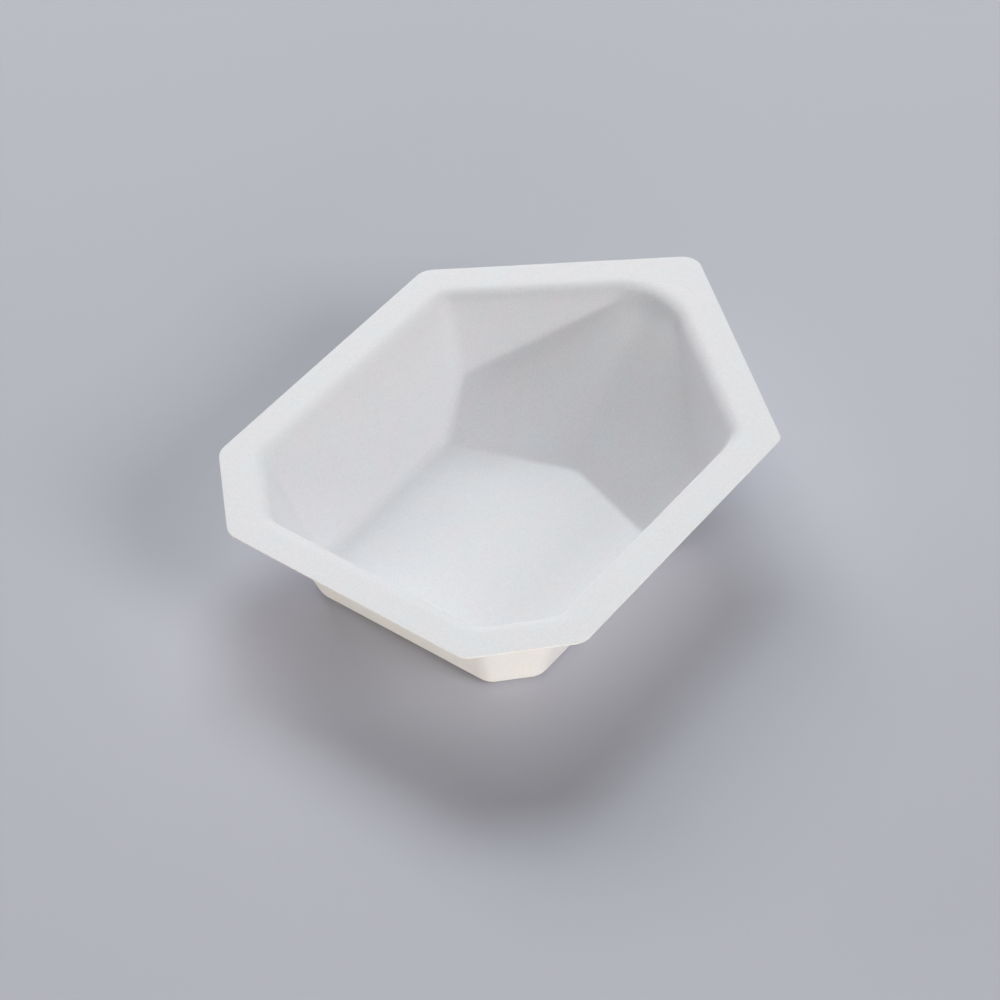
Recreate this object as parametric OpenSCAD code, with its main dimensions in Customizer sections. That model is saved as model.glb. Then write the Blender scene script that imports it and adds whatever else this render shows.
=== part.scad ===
// A pour-type weighing boat: one sheet of white polystyrene, drawn down into a seven-sided tray with a
// flat flange all round and a two-faced ramp that rises to the pouring tip.
// Lengths are in millimetres and angles in degrees. The boat stands on its floor at z = 0, its pouring
// tip points along +X, and its length and width are centred on the origin.

/* [Rim] */
// Overall length, from the back edge to the rounded pouring tip
boat_len = 82.5; // [76:0.5:110]
// Overall width, across the two parallel sides
boat_w = 63.4; // [58:0.1:80]
// Overall height, from the underside of the floor to the top of the flange
boat_h = 19.5; // [15:0.1:26]
// Length of the pointed end, from the shoulders to where its two edges would meet
point_len = 25.3; // [20:0.1:32]
// Length that each cut back corner takes off the side and off the back edge
corner_cut = 11.5; // [10:0.1:15]
// Width of the flat part of the flange
flange_w = 3.95; // [2.5:0.05:6]
// Radius of the rim's outline at the pouring tip
tip_r = 3; // [1:0.5:8]
// Radius of the rim's outline at its other corners
corner_r = 3; // [1:0.5:6]

/* [Walls] */
// Thickness of the sheet
sheet_t = 0.3; // [0.2:0.05:0.8]
// Lean of the side, corner and tip walls away from upright
draft = 18.4; // [10:0.1:22]
// Lean of the back wall away from upright
back_draft = 16.7; // [10:0.1:22]
// Radius of the roll that turns the flange down into the walls
roll_r = 2.5; // [1:0.25:4]
// Radius along the foot of the steep walls
foot_r = 2; // [1:0.25:4]
// Radius of the upright corners inside the tray
wall_corner_r = 3; // [2:0.25:4]
// Radius of the upright corner inside the tray under the pouring tip
tip_wall_r = 9; // [3:0.5:12]

/* [Ramp] */
// Slope of the ramp along its valley, from level
ramp_slope = 39.6; // [34:0.1:50]
// Turn of each face of the ramp away from straight ahead
ramp_turn = 18; // [8:0.5:26]
// Distance that the ramp starts behind the corner where the two tip walls would meet the flange
ramp_setback = 0.6; // [0:0.1:2]
// Radius of the valley between the two faces of the ramp
valley_r = 5.5; // [2:0.5:12]
// Radius along the foot of the ramp
ramp_foot_r = 1.5; // [0.5:0.25:3]
// Radius in plan of the creases between the ramp and the steep walls
crease_r = 2; // [0.25:0.25:2]

/* [Hidden] */

// Straight pieces in each arc, and levels in each stretch of the walls
corner_steps = 6;
ramp_steps = 5;
crease_steps = 3;
roll_steps = 6;
wall_steps = 10;
foot_steps = 6;
// How strongly the levels of the foot crowd towards the floor
foot_crowding = 1.3;
// Points of a ring that lie closer than this are one point
weld = 0.001;

// Slope of the steep walls and of the ramp's two faces, from level
wall_slope = 90 - draft;
back_slope = 90 - back_draft;
face_slope = atan(tan(ramp_slope) / cos(ramp_turn));
// Depth of the tray, from the top of the flange to the top of the floor
tray_depth = boat_h - sheet_t;

// The steep edges of one half of the outline, from the tip to the back: the way that each one faces,
// and how far it lies from the origin that way
point_facing = atan(point_len / (boat_w / 2));
point_x = boat_len / 2 + tip_r * (1 / cos(point_facing) - 1);
facing = [point_facing, 90, 135, 180];
reach = [
    point_x * cos(point_facing),
    boat_w / 2,
    (boat_len / 2 + boat_w / 2 - corner_cut) * cos(45),
    boat_len / 2
];
// Slope of the wall below each edge
slopes = [wall_slope, wall_slope, wall_slope, back_slope];

// Inset of a wall from the rim, and place of the ramp's valley, where they would meet the plane of the
// flange if nothing were rounded
function wall_inset(slope) = flange_w + roll_r * tan(slope / 2);
valley_x = (reach[0] - wall_inset(wall_slope)) / cos(point_facing) - ramp_setback;

// Unit vector that faces along an angle
function toward(a) = [cos(a), sin(a)];

// Centre of the arc of a radius that rounds corner i of the outline, when each edge is drawn in by an
// inset. Corner 0 is the tip, and each later corner lies between edges i - 1 and i
function arc_centre(i, insets, radius) =
    let (q = reach[i] - insets[i] - radius)
    i == 0 ? [q / cos(facing[0]), 0]
    : let (p = reach[i - 1] - insets[i - 1] - radius, a = facing[i - 1], b = facing[i])
        [p * sin(b) - q * sin(a), q * cos(a) - p * cos(b)] / sin(b - a);

// Half of the steep outline as stations [x, y, facing], drawn in by the insets and then by the radius
// that its creases give back
function outline(insets, radii, crease) = [
    for (i = [0:len(facing) - 1])
        let (centre = arc_centre(i, insets, radii[i]), start = i == 0 ? 0 : facing[i - 1])
        for (k = [0:corner_steps])
            let (a = start + (facing[i] - start) * k / corner_steps)
            let (p = centre + (radii[i] - crease) * toward(a))
            [p.x, p.y, a]
];

// How far a point lies outside a wedge that faces along +X, with an arc of radius r about [x, 0] as its
// nose and sides that face turn degrees to either side
function outside(p, x, r, turn) =
    atan2(p.y, p.x - x) < turn
        ? norm([p.x - x, p.y]) - r
        : (p.x - x) * cos(turn) + p.y * sin(turn) - r;

// A station's point, moved out by the radius of the creases
function eased(station, crease, a) = [station.x, station.y] + crease * toward(a);

// Half of a ring: the nose of the ramp, the crease where it crosses the steep outline, and the steep
// outline behind that. What lies beyond the crossing gathers on it, so that all rings match
function half_ring(steep, tip_x, tip_radius, nose_x, nose_radius, crease) =
    let (
        over = [for (s = steep) outside(s, nose_x, nose_radius, ramp_turn)],
        k = [for (i = [0:len(over) - 1]) if (over[i] <= 0) i][0],
        f = k == 0 ? 0 : over[k - 1] / (over[k - 1] - over[k]),
        cross = k == 0 ? steep[0] : steep[k - 1] + (steep[k] - steep[k - 1]) * f,
        ramp_a = k == 0 ? 0 : min(ramp_turn, atan2(cross.y, cross.x - nose_x)),
        wall_a = cross.z
    )
    concat(
        [
            for (m = [0:ramp_steps])
                let (a = ramp_turn * m / ramp_steps)
                let (p = [nose_x, 0] + nose_radius * toward(a))
                k == 0 || outside(p, tip_x, tip_radius, point_facing) > 0
                    ? eased(cross, crease, ramp_a)
                    : eased(p, crease, a)
        ],
        [
            for (j = [1:crease_steps])
                eased(cross, crease, ramp_a + (wall_a - ramp_a) * j / crease_steps)
        ],
        [
            for (i = [0:len(steep) - 1])
                i < k ? eased(cross, crease, wall_a) : eased(steep[i], crease, steep[i].z)
        ]
    );

// Whole ring at a depth below the flange, from its half with y of 0 or more
function ring(half, d) = concat(
    [for (p = half) [p.x, p.y, boat_h - d]],
    [for (i = [len(half) - 1:-1:1]) [half[i].x, -half[i].y, boat_h - d]]
);

// Run of a wall inwards from where it would meet the flange, at a depth: the roll, the straight slope and
// the foot. skin is 0 on the top surface of the sheet and its thickness on the underside
function run(d, slope, foot, skin) =
    let (
        foot_depth = tray_depth - foot,
        foot_run = foot_depth / tan(slope) + foot / sin(slope)
    )
    d < roll_r - (roll_r - skin) * cos(slope)
        ? sqrt(max(0, pow(roll_r - skin, 2) - pow(roll_r - d, 2))) - roll_r * tan(slope / 2)
    : d > foot_depth + (foot + skin) * cos(slope)
        ? foot_run - sqrt(max(0, pow(foot + skin, 2) - pow(d - foot_depth, 2)))
    : d / tan(slope) - skin / sin(slope);

// Ring of the tray's wall at a depth, on one skin of the sheet
function tray_ring(d, skin) =
    let (
        wall_gain = skin / sin(wall_slope),
        face_gain = skin / sin(face_slope),
        corner_radius = wall_corner_r + wall_gain,
        tip_radius = tip_wall_r + wall_gain,
        crease = crease_r + wall_gain,
        insets = [for (s = slopes) wall_inset(s) + run(d, s, foot_r, skin)],
        face_reach = valley_x * cos(ramp_turn) - run(d, face_slope, ramp_foot_r, skin),
        nose_radius = valley_r + face_gain,
        nose_x = (face_reach - nose_radius) / cos(ramp_turn),
        radii = [tip_radius, corner_radius, corner_radius, corner_radius],
        tip_x = arc_centre(0, insets, tip_radius).x
    )
    ring(
        half_ring(
            outline(insets, radii, crease),
            tip_x,
            tip_radius - crease,
            nose_x,
            nose_radius - crease,
            crease
        ),
        d
    );

// Ring of the rim's cut edge at a depth
function rim_ring(d) =
    let (steep = outline([0, 0, 0, 0], [tip_r, corner_r, corner_r, corner_r], 0))
    ring(half_ring(steep, point_x, 0, point_x, 0, 0), d);

// Depths of a skin's rings, from the flange down to the floor
function depths(skin) =
    let (
        roll_end = roll_r - (roll_r - skin) * cos(wall_slope),
        foot_depth = tray_depth - foot_r,
        foot_start = foot_depth + (foot_r + skin) * cos(wall_slope)
    )
    concat(
        [for (k = [0:roll_steps]) roll_r - (roll_r - skin) * cos(wall_slope * k / roll_steps)],
        [for (k = [1:wall_steps - 1]) roll_end + (foot_start - roll_end) * k / wall_steps],
        [
            for (k = [foot_steps:-1:0])
                foot_depth + (foot_r + skin) * cos(wall_slope * pow(k / foot_steps, foot_crowding))
        ]
    );

// For each point of a ring, the first point that lies at the same place
function firsts(ring) = [
    for (
        i = 0, j = 0;
        i < len(ring);
        i = i + 1,
        j = i == len(ring) || norm(ring[i] - ring[0]) < weld ? 0 : norm(ring[i] - ring[i - 1]) < weld ? j : i
    )
        j
];

// A triangle, unless two of its corners are one point
function triangle(a, b, c) = a == b || b == c || c == a ? [] : [[a, b, c]];

// Closed skin through matching rings, with a flat face on the first and the last
module loft(rings) {
    count = len(rings[0]);
    first = [for (i = [0:len(rings) - 1]) [for (j = firsts(rings[i])) i * count + j]];
    points = [for (r = rings) for (p = r) p];
    sides = [
        for (i = [0:len(rings) - 2])
            for (k = [0:count - 1])
                let (
                    n = (k + 1) % count,
                    a = first[i][k],
                    b = first[i][n],
                    c = first[i + 1][n],
                    d = first[i + 1][k]
                )
                each norm(points[a] - points[c]) < norm(points[b] - points[d])
                    ? concat(triangle(a, b, c), triangle(a, c, d))
                    : concat(triangle(a, b, d), triangle(b, c, d))
    ];
    last = len(rings) - 1;
    start_face = [for (k = [count - 1:-1:0]) if (first[0][k] == k) k];
    end_face = [for (k = [0:count - 1]) if (first[last][k] == last * count + k) last * count + k];
    polyhedron(points, concat(sides, [start_face], [end_face]));
}

// The whole boat: up the inside of the tray, across the flange, over its cut edge and down the outside
module weighing_boat() {
    inside = depths(0);
    color("whitesmoke")
        loft(
            concat(
                [for (i = [len(inside) - 1:-1:0]) tray_ring(inside[i], 0)],
                [rim_ring(0), rim_ring(sheet_t)],
                [for (d = depths(sheet_t)) tray_ring(d, sheet_t)]
            )
        );
}

weighing_boat();
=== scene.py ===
"""A pour-type weighing boat: one sheet of matt white polystyrene, drawn down warm into a seven-sided tray,
on a pale table under soft studio light."""

import math

import bpy
import numpy as np
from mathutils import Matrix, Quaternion, Vector


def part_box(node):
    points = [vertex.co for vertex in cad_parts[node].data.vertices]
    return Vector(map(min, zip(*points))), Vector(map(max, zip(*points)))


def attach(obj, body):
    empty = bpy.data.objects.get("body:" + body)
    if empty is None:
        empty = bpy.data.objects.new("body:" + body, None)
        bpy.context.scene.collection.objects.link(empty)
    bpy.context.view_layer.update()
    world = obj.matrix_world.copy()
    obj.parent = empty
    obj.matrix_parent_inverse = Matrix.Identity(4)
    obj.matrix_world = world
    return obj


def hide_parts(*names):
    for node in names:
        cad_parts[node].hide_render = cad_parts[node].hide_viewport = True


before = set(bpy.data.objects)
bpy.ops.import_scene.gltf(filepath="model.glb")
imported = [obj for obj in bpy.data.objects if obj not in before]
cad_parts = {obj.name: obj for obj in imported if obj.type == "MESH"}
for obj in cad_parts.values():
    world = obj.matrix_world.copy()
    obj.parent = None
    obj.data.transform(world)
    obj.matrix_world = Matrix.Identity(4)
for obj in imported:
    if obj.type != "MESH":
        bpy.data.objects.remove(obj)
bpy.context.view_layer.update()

MM = 0.001

# The boat's overall sizes are the solid's own
LOW, HIGH = (np.array(corner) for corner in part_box("weighing_boat"))
LENGTH, WIDTH, HEIGHT = HIGH - LOW

# The rim's outline
POINT_LEN = 25.3 * MM
CORNER_CUT = 11.5 * MM
FLANGE_W = 3.95 * MM
TIP_R = 3.0 * MM
CORNER_R = 3.0 * MM
# The shoulder on the -Y side is trimmed tighter than the rest
TIGHT_CORNER_R = 1.3 * MM

# The steep walls
SHEET_T = 0.3 * MM
DRAFT = math.radians(18.4)
BACK_DRAFT = math.radians(16.7)
ROLL_R = 2.5 * MM
FOOT_R = 2.0 * MM
WALL_CORNER_R = 3.0 * MM
TIP_WALL_R = 9.9 * MM

# The ramp
RAMP_SLOPE = math.radians(39.9)
RAMP_TURN = math.radians(18)
RAMP_SETBACK = 0.8 * MM
VALLEY_R = 9.0 * MM
RAMP_FOOT_R = 1.3 * MM
CREASE_R = 1.8 * MM
# The crease softens to this where it runs round the corner under the tip
TIP_CREASE_R = 12.0 * MM

# The arrises of the flange's cut edge are broken by this much, and the cut leans in under the flange
EDGE_R = 0.05 * MM
UNDERCUT = 0.06 * MM

# How finely the sheet is meshed: the spacing of the stations along the rim, the steps round each of its
# corners and over each arris, and the rings from the rim to the floor
STATION = 0.6 * MM
CORNER_STEPS = 8
EDGE_STEPS = 3
RINGS = 76
# How closely the sheet's height is found: the samples from the rim to the floor, the halvings at each,
# and the rounds that settle a point on the surface
SAMPLES = 160
HALVINGS = 14
SETTLE_ROUNDS = 4
# Keeps a division clear of zero
TINY = 1e-9
# A turn of one radian draws the rings together as much as this length of sheet
BEND_PULL = 3.0 * MM
# The innermost ring is the rim's outline, drawn in to this share of its size and moved back by this
# share of the length, so that it lies on the flat floor
INMOST_SHARE = 0.12


# ---- The form of the sheet --------------------------------------------------------------------------
# A side is a pair: how far each point lies beyond it, and which way it faces there.

POINT_FACING = math.atan2(POINT_LEN, WIDTH / 2)
POINT_X = LENGTH / 2 + TIP_R * (1 / math.cos(POINT_FACING) - 1)
FACINGS = [POINT_FACING, *np.radians([90, 135, 180, 225, 270]), -POINT_FACING]
CUT_REACH = (LENGTH / 2 + WIDTH / 2 - CORNER_CUT) * math.cos(math.pi / 4)
TIP_REACH = POINT_X * math.cos(POINT_FACING)
REACHES = [TIP_REACH, WIDTH / 2, CUT_REACH, LENGTH / 2, CUT_REACH, WIDTH / 2, TIP_REACH]
DRAFTS = [DRAFT, DRAFT, DRAFT, BACK_DRAFT, DRAFT, DRAFT, DRAFT]


def toward(angle):
    """The level unit vector that faces along an angle."""
    return np.array([math.cos(angle), math.sin(angle)])


def wall_inset(slope):
    """How far in from the rim a wall would meet the plane of the flange, with nothing rounded."""
    return FLANGE_W + ROLL_R * math.tan(slope / 2)


def wall(points, angle, at_rim, slope):
    """A flat wall that faces along an angle, lies at_rim from the origin at the rim and leans in below."""
    normal = np.array([*(toward(angle) * math.sin(slope)), -math.cos(slope)])
    beyond = points @ normal - at_rim * math.sin(slope) + HEIGHT * math.cos(slope)
    return beyond, np.broadcast_to(normal, points.shape)


def rounded(a, b, radius):
    """What lies beyond either of two sides, with an arc of that radius along the edge where they meet."""
    (beyond_a, normal_a), (beyond_b, normal_b) = a, b
    cosine = (normal_a * normal_b).sum(1)
    sine_sq = np.maximum(1 - cosine**2, TINY)
    u, v = beyond_a + radius, beyond_b + radius
    share_a = (u - cosine * v) / sine_sq
    share_b = (v - cosine * u) / sine_sq
    arm = share_a[:, None] * normal_a + share_b[:, None] * normal_b
    length = np.maximum(np.linalg.norm(arm, axis=1), TINY)
    on_arc = (share_a > 0) & (share_b > 0)
    nearer = np.where((beyond_a > beyond_b)[:, None], normal_a, normal_b)
    return (
        np.where(on_arc, length - radius, np.maximum(beyond_a, beyond_b)),
        np.where(on_arc[:, None], arm / length[:, None], nearer),
    )


def tip_share(normals, slope):
    """How far round the corner under the tip the walls face, from 0 beside it to 1 in its middle."""
    beside = math.cos(POINT_FACING) * math.sin(slope)
    middle = beside / math.hypot(beside, math.cos(slope))
    return np.clip((normals[:, 0] - beside) / (middle - beside), 0, 1)


def top_of_sheet(points):
    """How far points lie above the top surface of the sheet, and the way that surface faces there."""
    slopes = [math.pi / 2 - draft for draft in DRAFTS]
    walls = [wall(points, a, r - wall_inset(s), s) for a, r, s in zip(FACINGS, REACHES, slopes)]
    radii = [WALL_CORNER_R] * (len(walls) - 1) + [TIP_WALL_R]
    corners = [rounded(w, walls[(i + 1) % len(walls)], radii[i]) for i, w in enumerate(walls)]
    outermost = np.argmax([beyond for beyond, _ in corners], axis=0)
    rows = np.arange(len(points))
    tray = tuple(np.array([c[k] for c in corners])[outermost, rows] for k in (0, 1))

    valley_x = (TIP_REACH - wall_inset(slopes[0])) / math.cos(POINT_FACING) - RAMP_SETBACK
    face_slope = math.atan(math.tan(RAMP_SLOPE) / math.cos(RAMP_TURN))
    faces = [wall(points, a, valley_x * math.cos(a), face_slope) for a in (RAMP_TURN, -RAMP_TURN)]
    crease = CREASE_R + (TIP_CREASE_R - CREASE_R) * tip_share(tray[1], slopes[0])
    tray = rounded(tray, rounded(*faces, VALLEY_R), crease)

    floor = (SHEET_T - points[:, 2], np.broadcast_to([0.0, 0.0, -1.0], points.shape))
    # The foot's radius goes from that of the steep walls to that of the ramp as the sheet leans back
    lean = np.clip((-tray[1][:, 2] - math.sin(DRAFT)) / (math.cos(face_slope) - math.sin(DRAFT)), 0, 1)
    beyond, normal = rounded(tray, floor, FOOT_R + (RAMP_FOOT_R - FOOT_R) * lean)

    flange = (points[:, 2] - HEIGHT, np.broadcast_to([0.0, 0.0, 1.0], points.shape))
    return rounded((-beyond, -normal), flange, ROLL_R)


def settle(points):
    """Points moved straight onto the top surface, and the way that it faces there."""
    for _ in range(SETTLE_ROUNDS):
        above, normal = top_of_sheet(points)
        points = points - above[:, None] * normal
    return points, top_of_sheet(points)[1]


def rim_outline():
    """Stations round the rim's cut edge, each a level place and the way that it faces."""
    places, ways = [], []
    count = len(FACINGS)
    radii = [TIP_R] + [CORNER_R] * (count - 2) + [TIGHT_CORNER_R]

    def arc_centre(i):
        sides = np.array([toward(FACINGS[i - 1]), toward(FACINGS[i])])
        return np.linalg.solve(sides, [REACHES[i - 1] - radii[i], REACHES[i] - radii[i]])

    for i, after in enumerate(FACINGS):
        turn = (after - FACINGS[i - 1]) % math.tau
        for k in range(CORNER_STEPS + 1):
            way = toward(after - turn + turn * k / CORNER_STEPS)
            places.append(arc_centre(i) + radii[i] * way)
            ways.append(way)
        j = (i + 1) % count
        start, end = places[-1], arc_centre(j) + radii[j] * toward(after)
        steps = round(np.linalg.norm(end - start) / STATION)
        for k in range(1, steps):
            places.append(start + (end - start) * k / steps)
            ways.append(toward(after))
    return np.array(places), np.array(ways)


def top_rings(start, inmost):
    """Matching rings of points on the top surface, from the rim's edge in to the floor. They crowd where
    the sheet bends."""
    count = len(start)
    share = np.linspace(0, 1, SAMPLES)[:, None, None]
    plan = (start + (inmost - start) * share).reshape(-1, 2)
    low, high = np.zeros(len(plan)), np.full(len(plan), HEIGHT)
    for _ in range(HALVINGS):
        middle = (low + high) / 2
        above = top_of_sheet(np.column_stack([plan, middle]))[0] > 0
        low, high = np.where(above, low, middle), np.where(above, middle, high)
    path, facing = settle(np.column_stack([plan, (low + high) / 2]))
    path, facing = (v.reshape(SAMPLES, count, 3) for v in (path, facing))

    length = np.linalg.norm(np.diff(path, axis=0), axis=2)
    bend = np.linalg.norm(np.diff(facing, axis=0), axis=2)
    travel = np.vstack([np.zeros(count), np.cumsum(length + BEND_PULL * bend, axis=0)])
    rings = np.empty((RINGS, count, 3))
    for j in range(count):
        marks = np.linspace(0, travel[-1, j], RINGS)
        for axis in range(3):
            rings[:, j, axis] = np.interp(marks, travel[:, j], path[:, j, axis])
    top, normals = settle(rings.reshape(-1, 3))
    top[:count, :2] = start
    return top, normals


def edge_rings(rim, ways):
    """Rings over the cut edge of the flange, from its top arris to its lower one."""
    turns = [math.pi / 2 * k / EDGE_STEPS for k in range(1, EDGE_STEPS + 1)]
    upper = [(EDGE_R * (math.sin(t) - 1), HEIGHT - EDGE_R * (1 - math.cos(t))) for t in turns]
    lower = [(out - UNDERCUT, 2 * HEIGHT - SHEET_T - z) for out, z in reversed(upper)]
    return [np.column_stack([rim + out * ways, np.full(len(rim), z)]) for out, z in upper + lower]


def add_boat():
    """The boat as one closed skin: its top surface, the cut edge of the flange, and the same surface a
    sheet's thickness below."""
    rim, ways = rim_outline()
    count = len(rim)
    inmost = rim * INMOST_SHARE - np.array([INMOST_SHARE * LENGTH, 0])
    top, normals = top_rings(rim - EDGE_R * ways, inmost)
    under = top - SHEET_T * normals
    top, under = (v.reshape(RINGS, count, 3) for v in (top, under))
    # The underside starts where the leaning cut ends
    under[0, :, :2] -= UNDERCUT * ways
    rings = [*top[::-1], *edge_rings(rim, ways), *under]

    first = np.arange(len(rings) - 1)[:, None] * count + np.arange(count)
    after = np.roll(first, -1, axis=1)
    sides = np.stack([first, first + count, after + count, after], axis=-1).reshape(-1, 4)
    last = len(rings) * count - 1
    ends = [list(range(count)), list(range(last, last - count, -1))]
    mesh = bpy.data.meshes.new("boat_sheet")
    mesh.from_pydata(np.concatenate(rings).tolist(), [], sides.tolist() + ends)
    mesh.shade_smooth()
    boat = bpy.data.objects.new("boat_sheet", mesh)
    bpy.context.scene.collection.objects.link(boat)
    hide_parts("weighing_boat")
    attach(boat, "root")
    return boat


# ---- Finishes ---------------------------------------------------------------------------------------


def linear(hex_colour):
    """An sRGB hex colour as a linear RGBA one."""
    parts = [int(hex_colour[i : i + 2], 16) / 255 for i in (1, 3, 5)]
    return [p / 12.92 if p <= 0.04045 else ((p + 0.055) / 1.055) ** 2.4 for p in parts] + [1.0]


def add_node(tree, kind, settings, links):
    """A node of a kind, with its properties and sockets set and its sockets fed by other outputs."""
    node = tree.nodes.new(f"ShaderNode{kind}")
    for name, value in settings.items():
        if name in node.inputs:
            node.inputs[name].default_value = value
        else:
            setattr(node, name, value)
    for name, output in links.items():
        tree.links.new(output, node.inputs[name])
    return node


# Polystyrene sheet, drawn down warm onto a blasted mould. The blast leaves a grain too fine to feel, so
# the sheet shows soft shading and no highlights. It is drawn a little coarser than it is, so that it
# shows. The white filler isn't quite even, which leaves fine specks and faint cool and warm clouds in the
# sheet
SHEET_COOL = "#EDEFF2"
SHEET_WARM = "#F0EEF1"
SHEET_IOR = 1.59
SHEET_ROUGHNESS = (0.55, 0.7)
# The grain's size and depth, and how much lighter or darker a speck may be
GRAIN = 0.22 * MM
GRAIN_DEPTH = 0.006 * MM
GRAIN_DETAIL = 1.0
SPECKS = 0.1
# The clouds' size, and the stretch of the noise over which cool turns to warm
CLOUD = 4.0 * MM
CLOUD_DETAIL = 3.0
CLOUD_TURN = (0.35, 0.65)


def thermoformed_polystyrene():
    material = bpy.data.materials.new("thermoformed_matt_polystyrene")
    material.use_nodes = True
    tree = material.node_tree
    shader = tree.nodes["Principled BSDF"]
    shader.inputs["IOR"].default_value = SHEET_IOR

    place = add_node(tree, "TexCoord", {}, {}).outputs["Object"]
    clouds = {"Scale": 1 / CLOUD, "Detail": CLOUD_DETAIL}
    cloud = add_node(tree, "TexNoise", clouds, {"Vector": place}).outputs["Fac"]
    tint = add_node(tree, "ValToRGB", {}, {"Fac": cloud})
    for k, sheet in enumerate((SHEET_COOL, SHEET_WARM)):
        tint.color_ramp.elements[k].position = CLOUD_TURN[k]
        tint.color_ramp.elements[k].color = linear(sheet)

    grains = {"Scale": 1 / GRAIN, "Detail": GRAIN_DETAIL}
    grain = add_node(tree, "TexNoise", grains, {"Vector": place}).outputs["Fac"]
    shine = dict(zip(("To Min", "To Max"), SHEET_ROUGHNESS))
    rough = add_node(tree, "MapRange", shine, {"Value": grain})
    bump = add_node(tree, "Bump", {"Distance": GRAIN_DEPTH}, {"Height": grain})
    specks = {"To Min": 1 - SPECKS, "To Max": 1 + SPECKS}
    shade = add_node(tree, "MapRange", specks, {"Value": grain})
    parts = {"Vector": tint.outputs["Color"], "Scale": shade.outputs["Result"]}
    colour = add_node(tree, "VectorMath", {"operation": "SCALE"}, parts)

    tree.links.new(colour.outputs["Vector"], shader.inputs["Base Color"])
    tree.links.new(rough.outputs["Result"], shader.inputs["Roughness"])
    tree.links.new(bump.outputs["Normal"], shader.inputs["Normal"])
    return material


# ---- The table, the light and the camera ------------------------------------------------------------

TABLE_HALF = 3.0
TABLE_COLOUR = "#C6C7D0"
TABLE_ROUGHNESS = 0.9


def add_table():
    """A plain pale table top, large enough to fill the view."""
    corners = [(x * TABLE_HALF, y * TABLE_HALF, 0) for x, y in ((-1, -1), (1, -1), (1, 1), (-1, 1))]
    mesh = bpy.data.meshes.new("table_top")
    mesh.from_pydata(corners, [], [(0, 1, 2, 3)])
    table = bpy.data.objects.new("table_top", mesh)
    bpy.context.scene.collection.objects.link(table)
    material = bpy.data.materials.new("pale_laminate")
    material.use_nodes = True
    shader = material.node_tree.nodes["Principled BSDF"]
    shader.inputs["Base Color"].default_value = linear(TABLE_COLOUR)
    shader.inputs["Roughness"].default_value = TABLE_ROUGHNESS
    mesh.materials.append(material)


# Round softboxes, all as far from the boat and as wide. Each has the way it stands from the boat, round
# from +X and up from level in degrees, the light that it gives a plate that faces it, where 1 shows
# colours as they are written, and its tint
SOFTBOX_DISTANCE = 1.6
SOFTBOX_HALF_ANGLE = math.radians(12.5)
SOFTBOXES = {
    "key_past_the_tip": (30, 54, 0.308, "#F5FEFF"),
    "key_low": (30, 36, 0.068, "#FFFDF7"),
    "side_far_overhead": (60, 54, 0.128, "#FBFEFF"),
    "side_far_high": (60, 36, 0.266, "#FFF6F2"),
    "side_far_low": (90, 8, 0.239, "#F7FAFF"),
    "front_low": (225, 8, 0.171, "#FFF7F0"),
    "front_high": (210, 36, 0.031, "#F8F7FF"),
    "side_near_low": (270, 20, 0.082, "#FFFDFA"),
    "side_near_high": (270, 36, 0.336, "#FFFEFD"),
}


def link_lamp(name, data, place, way):
    """A lamp at a place, turned to shine against a way."""
    lamp = bpy.data.objects.new(name, data)
    lamp.location = place
    lamp.rotation_mode = "QUATERNION"
    lamp.rotation_quaternion = way.to_track_quat("Z", "Y")
    bpy.context.scene.collection.objects.link(lamp)


def add_softboxes():
    for name, (azimuth, elevation, strength, tint) in SOFTBOXES.items():
        data = bpy.data.lights.new(name, "AREA")
        data.shape = "DISK"
        data.size = 2 * SOFTBOX_DISTANCE * math.tan(SOFTBOX_HALF_ANGLE)
        data.energy = strength * (math.pi * SOFTBOX_DISTANCE) ** 2
        data.color = linear(tint)[:3]
        up = math.radians(elevation)
        way = Vector((*(toward(math.radians(azimuth)) * math.cos(up)), math.sin(up)))
        link_lamp(name, data, way * SOFTBOX_DISTANCE, way)


# A low, wide card at table level, which lights the outside of the near walls. It stands well off, so that
# it stays out of sight when the boat is looked at from its sides. Its strength is as a softbox's
CARD_AZIMUTH = math.radians(211)
CARD_DISTANCE = 1.0
CARD_WIDTH = 1.2
CARD_HEIGHT = 12 * MM
CARD_MIDDLE = 7.2 * MM
CARD_STRENGTH = 0.517
CARD_TINT = "#FFF4D9"


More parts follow.
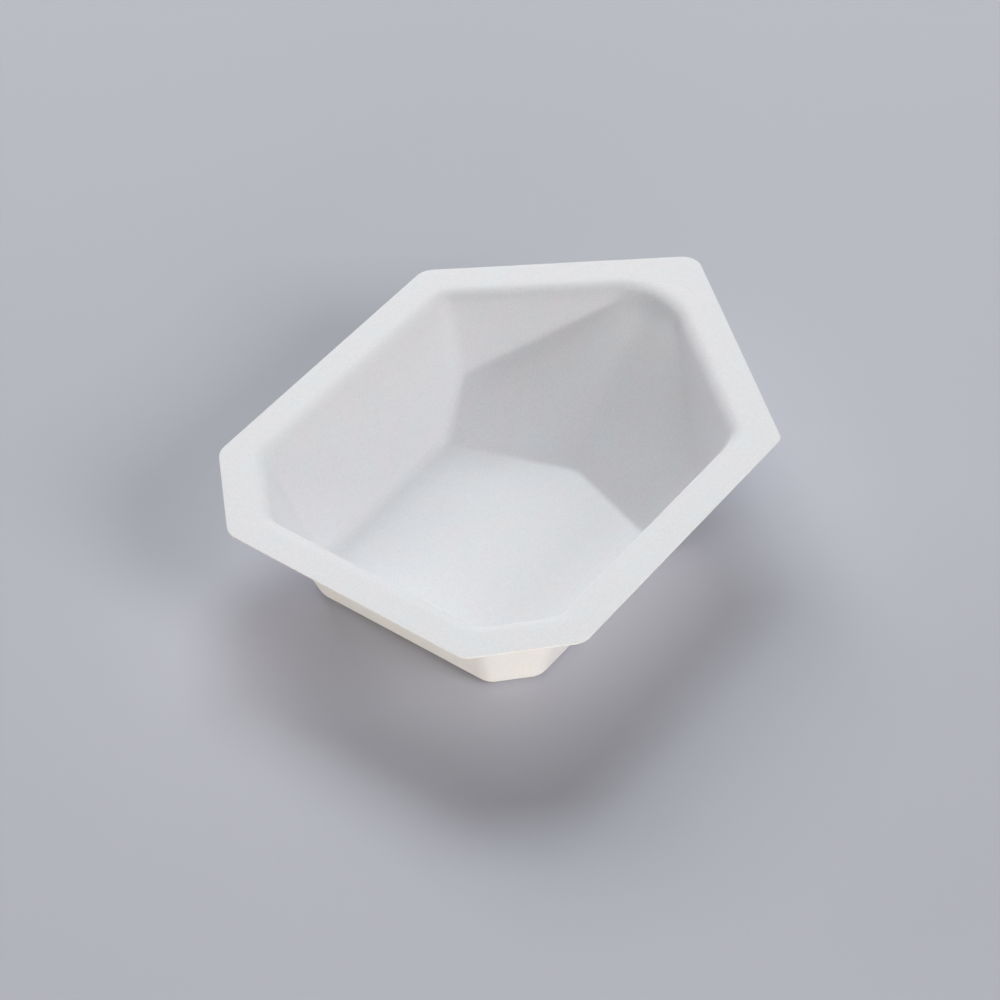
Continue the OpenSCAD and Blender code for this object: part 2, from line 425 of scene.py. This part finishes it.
def add_card():
    data = bpy.data.lights.new("low_card", "AREA")
    data.shape = "RECTANGLE"
    data.size = CARD_WIDTH
    data.size_y = CARD_HEIGHT
    data.energy = CARD_STRENGTH * (math.pi * CARD_DISTANCE) ** 2
    data.color = linear(CARD_TINT)[:3]
    way = Vector((*toward(CARD_AZIMUTH), 0))
    link_lamp("low_card", data, way * CARD_DISTANCE + Vector((0, 0, CARD_MIDDLE)), way)


# The camera: the point that it looks at, how far off it stands, and how it is turned
AIM = np.array([-7.76, -0.61, 10.0]) * MM
DISTANCE = 449.88 * MM
AZIMUTH = math.radians(39.69)
ELEVATION = math.radians(45.05)
ROLL = math.radians(-3.74)
LENS_MM = 114.62
SENSOR_MM = 36
NEAR_CLIP = 5 * MM


def add_camera():
    """The camera. It looks down along the boat and across it, a little tilted."""
    data = bpy.data.cameras.new("camera")
    data.lens = LENS_MM
    data.sensor_width = SENSOR_MM
    data.clip_start = NEAR_CLIP
    camera = bpy.data.objects.new("camera", data)
    level = toward(AZIMUTH) * math.cos(ELEVATION)
    ahead = Vector((*level, -math.sin(ELEVATION)))
    camera.location = Vector(AIM) - ahead * DISTANCE
    camera.rotation_mode = "QUATERNION"
    camera.rotation_quaternion = ahead.to_track_quat("-Z", "Y") @ Quaternion((0, 0, 1), ROLL)
    bpy.context.scene.collection.objects.link(camera)
    bpy.context.scene.camera = camera


BACKDROP_COLOUR = "#D8D9E0"


def add_backdrop():
    """Past the table's edge the camera and reflections see a pale backdrop, which gives no light."""
    world = bpy.data.worlds.new("backdrop")
    bpy.context.scene.world = world
    world.use_nodes = True
    tree = world.node_tree
    background = tree.nodes["Background"]
    background.inputs["Color"].default_value = linear(BACKDROP_COLOUR)
    ray = add_node(tree, "LightPath", {}, {}).outputs
    seen = ray["Is Camera Ray"]
    for kind in ("Is Glossy Ray", "Is Transmission Ray"):
        add = {"operation": "ADD", "use_clamp": True}
        seen = add_node(tree, "Math", add, {0: seen, 1: ray[kind]}).outputs["Value"]
    tree.links.new(seen, background.inputs["Strength"])


boat = add_boat()
boat.data.materials.append(thermoformed_polystyrene())
add_table()
add_softboxes()
add_card()
add_backdrop()
add_camera()
bpy.context.scene.view_settings.view_transform = "Standard"
